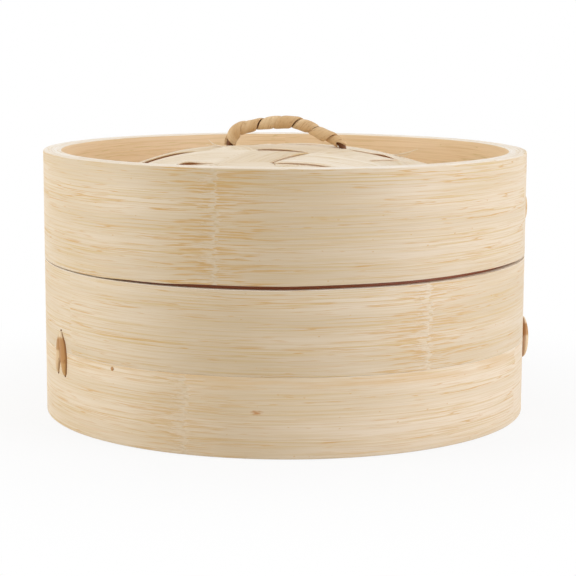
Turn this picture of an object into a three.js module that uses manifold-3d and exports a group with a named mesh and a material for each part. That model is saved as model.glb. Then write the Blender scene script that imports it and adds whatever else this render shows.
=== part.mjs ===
// Round bamboo steamer: one tier with a slatted floor, and its woven lid with an arched rattan handle.
// Millimetres, +Z up. The front is -Y, and z = 0 is the surface that the basket stands on.
// An azimuth is in degrees from the front, and grows towards +X.

import * as THREE from 'three';
import { mergeVertices } from 'three/addons/utils/BufferGeometryUtils.js';
import Module from 'manifold-3d';

const wasm = await Module();
wasm.setup();

// Hoops and bands
const outerRadius = 100;
const bandWall = 3.2;
const hoopWall = 3.9;
const fitGap = 0.3; // between pieces that lie against each other
const hoopSides = 60;

// Basket heights
const lowerBandHeight = 31;
const bandSeam = 0.3;
const upperBandHeight = 33.7;
const spigotRise = 8; // how far the inner hoop stands above the bands, inside the lid

// Slatted floor
const supportBottom = 3;
const supportHeight = 8;
const ringWall = 3.2;
const barWidth = 8;
const barHeight = 5;
const barSpacing = 96;
const slatThickness = 2.5;
const slatWidth = 14.6;
const slatPitch = 18;
const shortestSlat = 30;
const clampRingHeight = 6;

// Lid
const lidSeam = 1; // the dark line between the basket's band and the lid's
const lidBandHeight = 42.2;
const rimDepth = 19.7; // from the rim down to the weave, at the inner wall
const domeRadius = 207;
const liningThickness = 1;
const liningSteps = 6;

// Weave: three families of strips, 120 degrees apart, each passing over and under the other two
const stripPitch = 20;
const stripGap = 1.2;
const stripThickness = 0.6;
const firstStripTurn = -11; // degrees from +X
const firstStripShift = -2;
const lastStripShift = -2;
const narrowestEdgeStrip = 11;

// Handle: a rattan rod through the weave, wound with one flat strip
const handleTurn = -13; // degrees from +X
const coreRadius = 1.35;
const coreSteps = 48;
const coreSides = 8;
const archPoints = [
  [-23.9, -1.6],
  [-23.2, 1.6],
  [-21.5, 4.3],
  [-18.4, 6.2],
  [-14.4, 7.2],
  [-9.7, 8.1],
  [-5, 8.7],
  [0, 9],
  [4.2, 8.7],
  [8.3, 7.8],
  [12.1, 6.2],
  [15.6, 4.4],
  [19, 2.9],
  [22.4, 1.5],
  [24.4, -0.8],
];
const hookBend = 3.2;
const hookEnd = 14; // how far from the middle the hooked ends stop, under the lining
const wrapThickness = 1;
const wrapFlat = 0.6; // share of a turn's width that has the full thickness
const wrapEdge = 0.35; // share of the thickness at which a turn's edges stand
const wrapPitch = 7.8;
const wrapGap = 0.8;
const wrapStartTurn = 36; // degrees from the rod's underside towards the front
const wrapStartHeight = -0.6; // of the rod's middle line above the crown, at the left foot
const wrapEndHeight = 0.5; // and at the right foot
const wrapStepsPerTurn = 24;

// Rattan stitches and bamboo pins
const strandWidth = 3.8;
const strandThickness = 1.2;
const strandFlat = 0.68; // share of a strand's width that is flat
const strandBend = 1.2;
const strandTail = 0.9;
const strandBulge = 1.4; // of a basket stitch's middle, off the wall
const lidStrandBulge = 0;
const holeClearance = 0.4;
const stitchAboveSeam = 7; // from the upper band's lower edge to a basket stitch's top hole
const stitchBelowSeam = 9;
const stitchSpread = 8;
const basketStitches = { basket_stitch_left: -62.5, basket_stitch_right: 88 };
const stitchAboveWeave = 2; // from the weave's edge to a lid stitch's top hole
const stitchBelowWeave = 9.8;
const lidStitches = { lid_stitch_right: 92, lid_stitch_back: -140 };
const pinRadius = 0.8;
const pinSides = 8;
const pinBelowSeam = 1.7;
const pinProud = 0.2;
const basketPins = { basket_pin_front: -41, basket_pin_back: 139 };

// Places worked out from the sizes
const hoopOuter = outerRadius - bandWall - fitGap;
const hoopInner = hoopOuter - hoopWall;
const upperBandBottom = lowerBandHeight + bandSeam;
const basketTop = upperBandBottom + upperBandHeight;
const hoopTop = basketTop + spigotRise;
const lidBottom = basketTop + lidSeam;
const lidRim = lidBottom + lidBandHeight;
const floorRadius = hoopInner - fitGap;
const supportTop = supportBottom + supportHeight;
const slatBottom = supportTop + fitGap;
const slatTop = slatBottom + slatThickness;
const stripLevel = stripThickness + fitGap;
const facetSag = (stripPitch * 2 / 3) ** 2 / (2 * domeRadius);
const liningDepth = 2 * stripLevel + stripThickness + fitGap + facetSag;
const weaveRadius = hoopOuter - fitGap;
const weaveEdge = lidRim - rimDepth - fitGap;
const domeEdge = Math.sqrt(domeRadius ** 2 - hoopInner ** 2);

const materials = {
  bamboo: new THREE.MeshStandardMaterial({ color: '#d9b884', roughness: 0.6, metalness: 0 }),
  innerBamboo: new THREE.MeshStandardMaterial({ color: '#cda873', roughness: 0.7, metalness: 0 }),
  slat: new THREE.MeshStandardMaterial({ color: '#dcc08e', roughness: 0.65, metalness: 0 }),
  strip: new THREE.MeshStandardMaterial({ color: '#e6d3a8', roughness: 0.6, metalness: 0 }),
  lining: new THREE.MeshStandardMaterial({ color: '#cbb384', roughness: 0.8, metalness: 0 }),
  rattan: new THREE.MeshStandardMaterial({ color: '#c08f58', roughness: 0.6, metalness: 0 }),
};

// Solids

function merged(geometry) {
  const bare = geometry.clone();
  bare.deleteAttribute('normal');
  bare.deleteAttribute('uv');
  const whole = mergeVertices(bare, 1e-4);
  const index = Array.from(whole.index.array);
  const kept = [];
  for (let i = 0; i < index.length; i += 3) {
    const [a, b, c] = index.slice(i, i + 3);
    if (a !== b && b !== c && c !== a) kept.push(a, b, c);
  }
  whole.setIndex(kept);
  return whole;
}

function toSolid(geometry) {
  const whole = merged(geometry);
  const vertProperties = new Float32Array(whole.attributes.position.array);
  const triVerts = new Uint32Array(whole.index.array);
  return new wasm.Manifold(new wasm.Mesh({ numProp: 3, vertProperties, triVerts }));
}

function toGeometry(solid) {
  const mesh = solid.getMesh();
  const geometry = new THREE.BufferGeometry();
  geometry.setAttribute('position', new THREE.BufferAttribute(mesh.vertProperties, 3));
  geometry.setIndex(Array.from(mesh.triVerts));
  return geometry;
}

function cut(geometry, cutters) {
  let solid = toSolid(geometry);
  for (const cutter of cutters) solid = solid.subtract(toSolid(cutter));
  return toGeometry(solid);
}

function piece(name, geometry, material) {
  const whole = merged(geometry);
  whole.computeVertexNormals();
  const mesh = new THREE.Mesh(whole, material);
  mesh.name = name;
  return mesh;
}

// A ring or disc turned about Z from its section, listed upwards on the outside.
function turned(section) {
  const outline = [...section, section[0]].map(([radius, z]) => new THREE.Vector2(radius, z));
  return new THREE.LatheGeometry(outline, hoopSides).rotateX(Math.PI / 2);
}

function hoop(inner, outer, bottom, top) {
  return turned([
    [outer, bottom],
    [outer, top],
    [inner, top],
    [inner, bottom],
  ]);
}

function box(width, depth, height, x, y, z) {
  return new THREE.BoxGeometry(width, depth, height).translate(x, y, z);
}

// A closed skin over rings of points, with a flat cap on the first ring and the last.
function loft(rings) {
  const sides = rings[0].length;
  const index = [];
  for (let ring = 0; ring < rings.length - 1; ring++) {
    for (let side = 0; side < sides; side++) {
      const a = ring * sides + side;
      const b = ring * sides + (side + 1) % sides;
      index.push(a, b, b + sides, a, b + sides, a + sides);
    }
  }
  const last = (rings.length - 1) * sides;
  for (let side = 1; side < sides - 1; side++) {
    index.push(0, side + 1, side);
    index.push(last, last + side, last + side + 1);
  }
  return indexed(rings.flat(), index);
}

function indexed(points, index) {
  const geometry = new THREE.BufferGeometry();
  const numbers = points.flatMap((point) => [point.x, point.y, point.z]);
  geometry.setAttribute('position', new THREE.Float32BufferAttribute(numbers, 3));
  geometry.setIndex(index);
  return geometry;
}

// Places on the wall

function aroundWall(geometry, azimuth) {
  return geometry.clone().rotateZ(THREE.MathUtils.degToRad(azimuth));
}

// Basket

function basketHoles() {
  const holes = [];
  for (const azimuth of Object.values(basketStitches)) {
    for (const hole of stitchHoles(basketStitchLegs())) holes.push(aroundWall(hole, azimuth));
  }
  for (const azimuth of Object.values(basketPins)) {
    holes.push(aroundWall(pin(pinRadius + fitGap, fitGap), azimuth));
  }
  return holes;
}

function basketShell() {
  const holes = basketHoles();
  const bandInner = outerRadius - bandWall;
  const inner = cut(hoop(hoopInner, hoopOuter, 0, hoopTop), holes);
  const lower = cut(hoop(bandInner, outerRadius, 0, lowerBandHeight), holes);
  const upper = cut(hoop(bandInner, outerRadius, upperBandBottom, basketTop), holes);
  return [
    piece('basket_inner_hoop', inner, materials.innerBamboo),
    piece('basket_lower_band', lower, materials.bamboo),
    piece('basket_upper_band', upper, materials.bamboo),
  ];
}

function crossbars() {
  const bars = [];
  for (const side of [-1, 1]) {
    const x = side * barSpacing / 2;
    const outerEdge = Math.abs(x) + barWidth / 2;
    const reach = Math.sqrt((floorRadius - fitGap) ** 2 - outerEdge ** 2);
    bars.push({ x, reach });
  }
  return bars;
}

function floor() {
  const pieces = [];
  const notches = [];
  crossbars().forEach(({ x, reach }, number) => {
    const z = supportTop - barHeight / 2;
    const bar = box(barWidth, 2 * reach, barHeight, x, 0, z);
    pieces.push(piece(`floor_crossbar_${number + 1}`, bar, materials.slat));
    notches.push(box(barWidth + 2 * fitGap, 2 * outerRadius, barHeight + 2 * fitGap, x, 0, z));
  });
  const ringInner = floorRadius - ringWall;
  const support = cut(hoop(ringInner, floorRadius, supportBottom, supportTop), notches);
  pieces.push(piece('floor_support_ring', support, materials.innerBamboo));
  const clampBottom = slatTop + fitGap;
  const clamp = hoop(ringInner, floorRadius, clampBottom, clampBottom + clampRingHeight);
  pieces.push(piece('floor_clamp_ring', clamp, materials.innerBamboo));
  return [...pieces, ...slats()];
}

// Pieces side by side are numbered outwards from the middle one, so one more or less renames no other.
function numberFromMiddle(offset) {
  return offset < 0 ? -2 * offset : 2 * offset + 1;
}

// Slats lie side by side along X, each cut round at its ends to fit inside the hoop.
function slats() {
  const radius = floorRadius - fitGap;
  const widest = Math.sqrt(radius ** 2 - (shortestSlat / 2) ** 2);
  const eachSide = Math.floor((widest - slatWidth / 2) / slatPitch);
  const pieces = [];
  for (let row = -eachSide; row <= eachSide; row++) {
    const near = row * slatPitch - slatWidth / 2;
    const far = near + slatWidth;
    const nearTurn = Math.asin(near / radius);
    const farTurn = Math.asin(far / radius);
    const outline = new THREE.Shape();
    outline.absarc(0, 0, radius, nearTurn, farTurn, false);
    outline.absarc(0, 0, radius, Math.PI - farTurn, Math.PI - nearTurn, false);
    outline.closePath();
    const slat = new THREE.ExtrudeGeometry(outline, {
      depth: slatThickness,
      bevelEnabled: false,
      curveSegments: 4,
    }).translate(0, 0, slatBottom);
    const number = String(numberFromMiddle(row)).padStart(2, '0');
    pieces.push(piece(`floor_slat_${number}`, slat, materials.slat));
  }
  return pieces;
}

// Stitches and pins. Each is made at the front of the wall and turned to its azimuth.

// A leg is one strand of a stitch: its two holes on the outside face, as tangent position and height.
function basketStitchLegs() {
  return [-1, 1].map((side) => ({
    from: new THREE.Vector3(0, 0, upperBandBottom + stitchAboveSeam),
    to: new THREE.Vector3(side * stitchSpread / 2, 0, lowerBandHeight - stitchBelowSeam),
    bulge: strandBulge,
  }));
}

function lidStitchLegs() {
  return [{
    from: new THREE.Vector3(0, 0, weaveEdge + stitchAboveWeave),
    to: new THREE.Vector3(0, 0, weaveEdge - stitchBelowWeave),
    bulge: lidStrandBulge,
  }];
}

function strand({ from, to, bulge }) {
  const along = to.clone().sub(from);
  const length = along.length();
  along.normalize();
  const across = new THREE.Vector3(0, 1, 0).cross(along);
  const surface = outerRadius + fitGap + strandThickness / 2;
  const tailEnd = hoopInner - strandTail;
  const place = (run, radius) => from.clone().addScaledVector(along, run).setY(-radius);
  const corner = (centreRun, sign) => [0, 0.25, 0.5, 0.75, 1].map((share) => {
    const angle = share * Math.PI / 2;
    const run = centreRun - sign * strandBend * Math.cos(angle);
    return place(run, surface - strandBend + strandBend * Math.sin(angle));
  });
  const path = [
    place(0, tailEnd),
    ...corner(strandBend, 1),
    place(length / 2, surface + bulge),
    ...corner(length - strandBend, -1).reverse(),
    place(length, tailEnd),
  ];
  return sweptStrip(path, across, strandWidth, strandThickness);
}

// A flat strip along a path that lies in one plane, square to the strip's width.
function sweptStrip(path, across, width, thickness) {
  const edge = width / 2;
  const flat = strandFlat * edge;
  const face = thickness / 2;
  const section = [[-edge, 0], [-flat, face], [flat, face], [edge, 0], [flat, -face], [-flat, -face]];
  const rings = path.map((point, number) => {
    const before = path[Math.max(number - 1, 0)];
    const after = path[Math.min(number + 1, path.length - 1)];
    const up = after.clone().sub(before).normalize().cross(across);
    return section.map(([x, y]) => point.clone().addScaledVector(across, x).addScaledVector(up, y));
  });
  return outward(loft(rings));
}

function outward(geometry) {
  const position = geometry.attributes.position;
  const index = Array.from(geometry.index.array);
  const [a, b, c] = [new THREE.Vector3(), new THREE.Vector3(), new THREE.Vector3()];
  let volume = 0;
  for (let i = 0; i < index.length; i += 3) {
    a.fromBufferAttribute(position, index[i]);
    b.fromBufferAttribute(position, index[i + 1]);
    c.fromBufferAttribute(position, index[i + 2]);
    volume += a.dot(b.cross(c));
  }
  if (volume < 0) geometry.setIndex(index.reverse());
  return geometry;
}

function stitch(legs) {
  const [first, ...others] = legs.map((leg) => toSolid(strand(leg)));
  return toGeometry(others.reduce((whole, next) => whole.add(next), first));
}

// Each strand's holes run straight through the wall, a little larger than the strand.
function stitchHoles(legs) {
  const depth = 2 * (outerRadius - hoopInner);
  const middle = (outerRadius + hoopInner) / 2;
  const holes = [];
  for (const { from, to } of legs) {
    const lean = Math.atan2(to.x - from.x, from.z - to.z);
    for (const end of [from, to]) {
      const width = strandWidth + 2 * holeClearance;
      const height = strandThickness + 2 * holeClearance;
      const hole = new THREE.BoxGeometry(width, depth, height).rotateY(-lean);
      holes.push(hole.translate(end.x, -middle, end.z));
    }
  }
  return holes;
}

function stitches(places, legs) {
  return Object.entries(places).map(([name, azimuth]) => {
    const mesh = piece(name, stitch(legs), materials.rattan);
    mesh.rotation.z = THREE.MathUtils.degToRad(azimuth);
    return mesh;
  });
}

// A pin lies in the wall from just proud of the band to just short of the inner face.
function pin(radius, extra) {
  const outerEnd = outerRadius + pinProud + extra;
  const innerEnd = hoopInner + fitGap - 2 * extra;
  return new THREE.CylinderGeometry(radius, radius, outerEnd - innerEnd, pinSides)
    .translate(0, -(outerEnd + innerEnd) / 2, lowerBandHeight - pinBelowSeam);
}

function pins() {
  return Object.entries(basketPins).map(([name, azimuth]) => {
    const mesh = piece(name, pin(pinRadius, 0), materials.rattan);
    mesh.rotation.z = THREE.MathUtils.degToRad(azimuth);
    return mesh;
  });
}

// Lid

// Height of the dome's outer surface, a part of a sphere that meets the clamp ring at its inner wall.
function domeHeight(radius) {
  return weaveEdge + Math.sqrt(domeRadius ** 2 - radius ** 2) - domeEdge;
}

function lidRings() {
  const holes = [];
  for (const azimuth of Object.values(lidStitches)) {
    for (const hole of stitchHoles(lidStitchLegs())) holes.push(aroundWall(hole, azimuth));
  }
  const above = (radius) => [radius, domeHeight(radius) + fitGap];
  const below = (radius) => [radius, domeHeight(radius) - liningDepth - liningThickness - fitGap];
  const band = hoop(outerRadius - bandWall, outerRadius, lidBottom, lidRim);
  const clamp = turned([above(hoopOuter), [hoopOuter, lidRim], [hoopInner, lidRim], above(hoopInner)]);
  const seatBottom = hoopTop + fitGap;
  const seat = turned([
    [hoopOuter, seatBottom],
    below(hoopOuter),
    below(hoopInner),
    [hoopInner, seatBottom],
  ]);
  return [
    piece('lid_outer_band', cut(band, holes), materials.bamboo),
    piece('lid_clamp_ring', cut(clamp, holes), materials.innerBamboo),
    piece('lid_seat_ring', cut(seat, holes), materials.innerBamboo),
  ];
}

function lidLining() {
  const section = [];
  for (let step = 0; step <= liningSteps; step++) {
    const radius = weaveRadius * step / liningSteps;
    section.push([radius, domeHeight(radius) - liningDepth - liningThickness]);
  }
  for (let step = liningSteps; step >= 0; step--) {
    const radius = weaveRadius * step / liningSteps;
    section.push([radius, domeHeight(radius) - liningDepth]);
  }
  const lining = cut(turned(section), [inLid(handleTube(coreRadius + fitGap))]);
  return piece('lid_lining', lining, materials.lining);
}

// Weave. The lines between strips of all three families meet in shared points, so they divide the
// dome into triangles. A cell is a triangle, named by the strip of each family that covers it.
const families = [0, 1, 2].map((number) => {
  const angle = THREE.MathUtils.degToRad(firstStripTurn + 90 - 120 * number);
  return new THREE.Vector2(Math.cos(angle), Math.sin(angle));
});
const familyShift = [firstStripShift, -firstStripShift - lastStripShift, lastStripShift];

// Point where three strip lines meet; their numbers add up to zero.
function meetingPoint(lines) {
  const point = new THREE.Vector2();
  lines.forEach((line, family) => {
    const distance = familyShift[family] + line * stripPitch;
    point.addScaledVector(families[family], distance * 2 / 3);
  });
  return new THREE.Vector3(point.x, point.y, domeHeight(point.length()));
}

// A cell's corners, each with the lines that meet there. Its strip numbers add up to -1 or -2.
function cellCorners(cell) {
  const upright = cell[0] + cell[1] + cell[2] === -1;
  return [0, 1, 2].map((family) => {
    const lines = cell.map((strip, other) => strip + ((other === family) === upright ? 1 : 0));
    return { key: lines.join(), point: meetingPoint(lines) };
  });
}

// In each cell one family lies on top, and the other two follow below it in turn.
function depthInCell(cell, family) {
  const residue = (number) => ((number % 3) + 3) % 3;
  let top = 0;
  if (residue(cell[0] - cell[1]) === 1) top = 1;
  if (residue(cell[1] - cell[2]) === 1) top = 2;
  return residue(family - top);
}

function stripCells(family, strip) {
  const cells = [];
  const across = Math.ceil(2 * weaveRadius / stripPitch);
  for (let next = -across; next <= across; next++) {
    for (const total of [-1, -2]) {
      const cell = [0, 0, 0];
      cell[family] = strip;
      cell[(family + 1) % 3] = next;
      cell[(family + 2) % 3] = total - strip - next;
      cells.push(cell);
    }
  }
  const inside = cells.map((cell) => {
    const middle = new THREE.Vector3();
    for (const { point } of cellCorners(cell)) middle.addScaledVector(point, 1 / 3);
    return Math.hypot(middle.x, middle.y) < weaveRadius + stripPitch / 3;
  });
  return cells.slice(inside.indexOf(true), inside.lastIndexOf(true) + 1);
}

// The strip's top faces: a flat triangle in each cell, and a step to the next over each gap.
function stripSheet(family, strip) {
  const points = [];
  const faces = [];
  const shrink = 1 - 1.5 * stripGap / stripPitch;
  let previous = null;
  for (const cell of stripCells(family, strip)) {
    const corners = cellCorners(cell);
    const middle = new THREE.Vector3();
    for (const { point } of corners) middle.addScaledVector(point, 1 / 3);
    const places = {};
    for (const { key, point } of corners) {
      const inset = point.clone().sub(middle).multiplyScalar(shrink).add(middle);
      inset.z -= depthInCell(cell, family) * stripLevel;
      places[key] = points.push(inset) - 1;
    }
    faces.push(Object.values(places));
    if (previous) {
      const [one, other] = Object.keys(places).filter((key) => key in previous);
      faces.push([places[one], places[other], previous[other], previous[one]]);
    }
    previous = places;
  }
  return { points, faces: faces.map((face) => anticlockwise(face, points)) };
}

function anticlockwise(face, points) {
  const [a, b, c] = face.map((number) => points[number]);
  const turn = (b.x - a.x) * (c.y - a.y) - (b.y - a.y) * (c.x - a.x);
  return turn > 0 ? face : [...face].reverse();
}

// A sheet of faces seen from above becomes a solid of one thickness below it.
function thickened({ points, faces }, thickness) {
  const under = points.map((point) => point.clone().setZ(point.z - thickness));
  const count = points.length;
  const edges = new Set();
  const index = [];
  for (const face of faces) {
    for (let i = 1; i < face.length - 1; i++) {
      index.push(face[0], face[i], face[i + 1]);
      index.push(face[0] + count, face[i + 1] + count, face[i] + count);
    }
    face.forEach((from, i) => edges.add(`${from} ${face[(i + 1) % face.length]}`));
  }
  for (const edge of edges) {
    const [from, to] = edge.split(' ').map(Number);
    if (edges.has(`${to} ${from}`)) continue;
    index.push(from, from + count, to + count, from, to + count, to);
  }
  return indexed([...points, ...under], index);
}

function weave() {
  const disc = toSolid(hoop(0, weaveRadius, lidBottom, lidRim + domeRadius));
  const rod = toSolid(inLid(handleTube(coreRadius + fitGap)));
  const letters = ['a', 'b', 'c'];
  const pieces = [];
  families.forEach((direction, family) => {
    const reach = hoopInner - narrowestEdgeStrip;
    const stripAt = (distance) => Math.floor((distance - familyShift[family]) / stripPitch);
    for (let strip = stripAt(-reach); strip <= stripAt(reach); strip++) {
      const sheet = toSolid(thickened(stripSheet(family, strip), stripThickness));
      const shape = toGeometry(sheet.intersect(disc).subtract(rod));
      const number = numberFromMiddle(strip - stripAt(0));
      pieces.push(piece(`weave_strip_${letters[family]}${number}`, shape, materials.strip));
    }
  });
  return pieces;
}

// Handle, in its own frame: X along the arch, and the origin at the crown of the dome.

function inLid(geometry) {
  return geometry.clone().rotateZ(THREE.MathUtils.degToRad(handleTurn)).translate(0, 0, domeHeight(0));
}

// The rod runs over the arch, down through the weave at both feet, and hooks inwards under the lining.
function handlePath() {
  const feet = [archPoints[0][0], archPoints.at(-1)[0]];
  const underside = domeHeight(Math.max(...feet.map(Math.abs))) - liningDepth - liningThickness;
  const hook = underside - domeHeight(0) - fitGap - coreRadius;
  const [left, right] = feet.map((foot) => {
    const inwards = -Math.sign(foot);
    const bow = hookBend * (1 - Math.SQRT1_2);
    return [
      [foot, hook + hookBend],
      [foot + bow * inwards, hook + bow],
      [foot + hookBend * inwards, hook],
      [-hookEnd * inwards, hook],
    ];
  });
  const points = [...left.reverse(), ...archPoints, ...right];
  const path = new THREE.CatmullRomCurve3(points.map(([x, z]) => new THREE.Vector3(x, 0, z)));
  path.arcLengthDivisions = 800;
  return path;
}

function handleTube(radius) {
  const section = new THREE.Shape();
  for (let side = 0; side < coreSides; side++) {
    const angle = 2 * Math.PI * side / coreSides;
    const corner = [radius * Math.cos(angle), radius * Math.sin(angle)];
    if (side === 0) section.moveTo(...corner);
    else section.lineTo(...corner);
  }
  section.closePath();
  return new THREE.ExtrudeGeometry(section, { steps: coreSteps, extrudePath: handlePath() });
}

// Share of the path at which the rod's middle line passes a height, counted from one end's foot.
function shareAtHeight(path, height, fromRight) {
  const samples = 2000;
  for (let sample = 0; sample <= samples; sample++) {
    const share = fromRight ? 1 - sample / samples : sample / samples;
    if (path.getPointAt(share).z >= height) return share;
  }
  return fromRight ? 1 : 0;
}

// The winding's section is drawn in the plane through the rod's middle line, so turns lie side by side.
function handleWrapRings() {
  const path = handlePath();
  const length = path.getLength();
  const halfWidth = (wrapPitch - wrapGap) / 2;
  const flat = wrapFlat * halfWidth;
  const inner = coreRadius + fitGap;
  const edge = inner + wrapEdge * wrapThickness;
  const outer = inner + wrapThickness;
  const section = [
    [-halfWidth, edge],
    [-flat, outer],
    [flat, outer],
    [halfWidth, edge],
    [flat, inner],
    [-flat, inner],
  ];
  const start = shareAtHeight(path, wrapStartHeight, false) * length + halfWidth;
  const end = shareAtHeight(path, wrapEndHeight, true) * length - halfWidth;
  const steps = Math.round((end - start) / wrapPitch * wrapStepsPerTurn);
  const side = new THREE.Vector3(0, 1, 0);
  const rings = [];
  for (let step = 0; step <= steps; step++) {
    const turns = step / wrapStepsPerTurn;
    const angle = THREE.MathUtils.degToRad(wrapStartTurn) + 2 * Math.PI * turns;
    const middle = start + wrapPitch * turns;
    rings.push(section.map(([run, radius]) => {
      const share = (middle + run) / length;
      const down = path.getTangentAt(share).cross(side).negate();
      return path.getPointAt(share)
        .addScaledVector(down, radius * Math.cos(angle))
        .addScaledVector(side, -radius * Math.sin(angle));
    }));
  }
  return rings;
}

// Least distance between points of the winding that lie more than half a turn apart along it.
function leastGap(rings) {
  let least = Infinity;
  for (let ring = 0; ring < rings.length; ring++) {
    for (let other = ring + wrapStepsPerTurn / 2; other < rings.length; other++) {
      for (const point of rings[ring]) {
        for (const next of rings[other]) least = Math.min(least, point.distanceTo(next));
      }
    }
  }
  return least;
}

function handle() {
  const rings = handleWrapRings();
  console.log(`handle_wrap: least gap to itself ${leastGap(rings).toFixed(2)} mm`);
  const group = new THREE.Group();
  group.add(piece('handle_core', handleTube(coreRadius), materials.rattan));
  group.add(piece('handle_wrap', outward(loft(rings)), materials.rattan));
  group.position.z = domeHeight(0);
  group.rotation.z = THREE.MathUtils.degToRad(handleTurn);
  return group;
}

// Scene

const basket = new THREE.Group();
basket.add(...basketShell(), ...floor());
basket.add(...stitches(basketStitches, basketStitchLegs()), ...pins());

const lid = new THREE.Group();
lid.add(...lidRings(), lidLining(), ...weave(), handle());
lid.add(...stitches(lidStitches, lidStitchLegs()));

const steamer = new THREE.Group();
steamer.add(basket, lid);

export default steamer;
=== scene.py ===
import math
import random

import bmesh
import bpy
import numpy as np
from mathutils import Matrix, Vector


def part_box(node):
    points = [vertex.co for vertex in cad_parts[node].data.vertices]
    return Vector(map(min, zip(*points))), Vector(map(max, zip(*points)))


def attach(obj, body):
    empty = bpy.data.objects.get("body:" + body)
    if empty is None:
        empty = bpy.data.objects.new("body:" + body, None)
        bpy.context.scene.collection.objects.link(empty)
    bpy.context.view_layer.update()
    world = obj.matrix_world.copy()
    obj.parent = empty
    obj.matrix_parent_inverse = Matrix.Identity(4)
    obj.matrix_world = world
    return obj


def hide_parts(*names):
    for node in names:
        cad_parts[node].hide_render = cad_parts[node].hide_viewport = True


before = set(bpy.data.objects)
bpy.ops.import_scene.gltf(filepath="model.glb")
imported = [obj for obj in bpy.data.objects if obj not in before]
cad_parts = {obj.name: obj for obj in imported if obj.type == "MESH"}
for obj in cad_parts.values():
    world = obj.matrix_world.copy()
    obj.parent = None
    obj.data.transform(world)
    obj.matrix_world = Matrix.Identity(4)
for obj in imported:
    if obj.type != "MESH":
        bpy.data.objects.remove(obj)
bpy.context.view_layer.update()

MM = 0.001
SEED = 7

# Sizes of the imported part, in metres
BAND_THICKNESS = 3.2 * MM
HOOP_THICKNESS = 3.9 * MM
BAND_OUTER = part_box("lid_outer_band")[1].y
BAND_INNER = BAND_OUTER - BAND_THICKNESS
HOOP_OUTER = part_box("basket_inner_hoop")[1].y
HOOP_INNER = HOOP_OUTER - HOOP_THICKNESS
LOWER_BAND = (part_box("basket_lower_band")[0].z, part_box("basket_lower_band")[1].z)
UPPER_BAND = (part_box("basket_upper_band")[0].z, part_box("basket_upper_band")[1].z)
LID_BAND = (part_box("lid_outer_band")[0].z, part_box("lid_outer_band")[1].z)
FLOOR_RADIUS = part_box("floor_clamp_ring")[1].y
HALF_ROUND = math.pi * BAND_OUTER  # the distance half way round a band

# The dome of the lid, a part of a sphere
DOME_RADIUS = 207 * MM
WEAVE_EDGE = LID_BAND[1] - 20 * MM


def dome_height(radius):
    """Height of the weave's middle layer at a distance from the axis."""
    return WEAVE_EDGE + np.sqrt(DOME_RADIUS**2 - radius**2) - math.sqrt(DOME_RADIUS**2 - HOOP_INNER**2)


def arc(azimuth, origin=0):
    """Distance round a band from one azimuth to another."""
    return math.radians(azimuth - origin) * BAND_OUTER


def together(*parts):
    """Arrays side by side along a new last axis."""
    return np.stack(np.broadcast_arrays(*parts), -1)


def around(count):
    """Angles spaced evenly round a circle."""
    return np.linspace(0, 2 * np.pi, count, endpoint=False)


def outwards(place):
    """The number of a piece from its place in a row: 1 in the middle, 2 and 3 beside it, and so on."""
    return -2 * place if place < 0 else 2 * place + 1


def turned(points, azimuth):
    """Points made at the front, turned to an azimuth."""
    x, y, z = np.moveaxis(points, -1, 0)
    cosine, sine = math.cos(math.radians(azimuth)), math.sin(math.radians(azimuth))
    return together(x * cosine - y * sine, x * sine + y * cosine, z)


def placed(name, data):
    """A new object in the scene."""
    obj = bpy.data.objects.new(name, data)
    bpy.context.scene.collection.objects.link(obj)
    return obj


# Materials. Colours are written as they look, from 0 to 255.


def srgb(tone):
    """A written colour as linear light."""
    shares = (value / 255 for value in tone)
    return (*(s / 12.92 if s <= 0.04045 else ((s + 0.055) / 1.055) ** 2.4 for s in shares), 1)


class Nodes:
    """A node tree."""

    def __init__(self, tree):
        self.nodes, self.links = tree.nodes, tree.links

    def feed(self, node, inputs):
        """Sets or links a node's inputs, by name or number."""
        for name, value in inputs.items():
            if isinstance(value, bpy.types.NodeSocket):
                self.links.new(value, node.inputs[name])
            else:
                node.inputs[name].default_value = value

    def add(self, kind, inputs, **settings):
        node = self.nodes.new("ShaderNode" + kind)
        for name, value in settings.items():
            setattr(node, name, value)
        self.feed(node, inputs)
        return node

    def math(self, operation, *values):
        return self.add("Math", dict(enumerate(values)), operation=operation).outputs[0]

    def times(self, one, other):
        return self.math("MULTIPLY", one, other)

    def scaled(self, value, factor, more):
        """The value times the factor, and more added."""
        return self.math("MULTIPLY_ADD", value, factor, more)


# The noises that the materials are drawn with: repeats per metre along and across the fibres, detail, a
# depth that sets it apart from the others, and the two limits between which its marks come in
NOISES = {
    "tone": (7, 60, 3, 0, 0.36, 0.64),
    "patch": (12, 190, 2, 8.3, 0.4, 0.62),
    "fibre": (17, 1450, 3, 3.1),
    "hair": (26, 2300, 2, 50.7, 0.5, 0.62),
    "dash": (50, 1800, 2, 12.9, 0.57, 0.64),
    "contour": (14, 620, 2, 83.9),
    "pale": (30, 2700, 2, 17.3, 0.54, 0.68),
    "speck": (520, 900, 0, 40.1, 0.83, 0.86),
    "relief": (60, 3600, 2, 5.7),
    "shade": (14, 40, 2, 91.7),
    "blotch": (24, 260, 3, 44.1, 0.42, 0.62),
    "joint_line": (0, 700, 5, 21.7),
    "joint_rows": (75, 2300, 2, 61.3, 0.48, 0.57),
    "joint_length": (0, 620, 3, 66.1),
    "joint_start": (0, 1100, 2, 71.9),
    "joint_torn": (300, 1000, 2, 33.3, 0.44, 0.54),
    "joint_curl": (150, 260, 2, 37.3),
    "stain": (500, 1800, 2, 31),
    "skin": (40, 130, 3, 0),
    "skin_fibre": (45, 3300, 3, 3.7),
    "pore": (420, 1900, 1, 7.9, 0.64, 0.7),
}


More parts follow.
